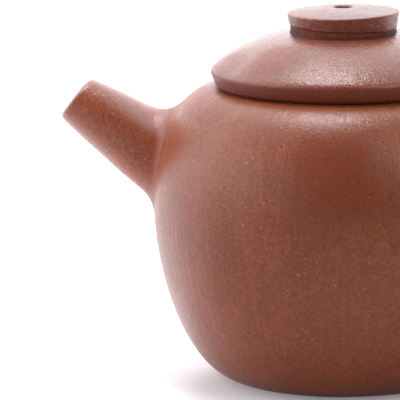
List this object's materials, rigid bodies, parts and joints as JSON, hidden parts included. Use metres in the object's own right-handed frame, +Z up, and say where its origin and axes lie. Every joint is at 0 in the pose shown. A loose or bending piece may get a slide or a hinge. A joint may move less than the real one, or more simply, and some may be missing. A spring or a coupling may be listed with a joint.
{
  "type": "teapot",
  "caption": "Small unglazed red-brown clay teapot with a straight tapered spout, an ear-shaped handle and a lift-off domed lid with a low disc knob.",
  "frame": {"origin": "centre of the flat base, on the pot's axis, at the surface it stands on", "axes": "+Z up along the pot's axis, -X towards the spout, +X towards the handle"},
  "size_m": [0.1211, 0.078, 0.0762],
  "materials": {
    "body_clay": "unglazed, fine sandy grain, soft satin sheen",
    "spout_clay": "unglazed, smoothed by hand, soft satin sheen",
    "lid_clay": "unglazed, smoothed by hand, soft satin sheen",
    "knob_clay": "unglazed, matt",
    "inner_clay": "unglazed, matt, tea-stained"
  },
  "bodies": {
    "pot": {"base_disc": "body_clay", "body_wall": "body_clay", "shoulder_disc": "body_clay", "mouth_ring": "inner_clay", "spout": "spout_clay", "strainer": "inner_clay", "handle": "spout_clay"},
    "lid": {"lid_rim": "lid_clay", "lid_flange": "inner_clay", "lid_dome": "lid_clay", "knob_seat": "knob_clay", "knob": "knob_clay"}
  },
  "joints": [
    {"name": "lid_lift", "type": "slide", "parent": "pot", "child": "lid", "axis": [0, 0, 1], "range_m": [0, 0.05]}
  ]
}
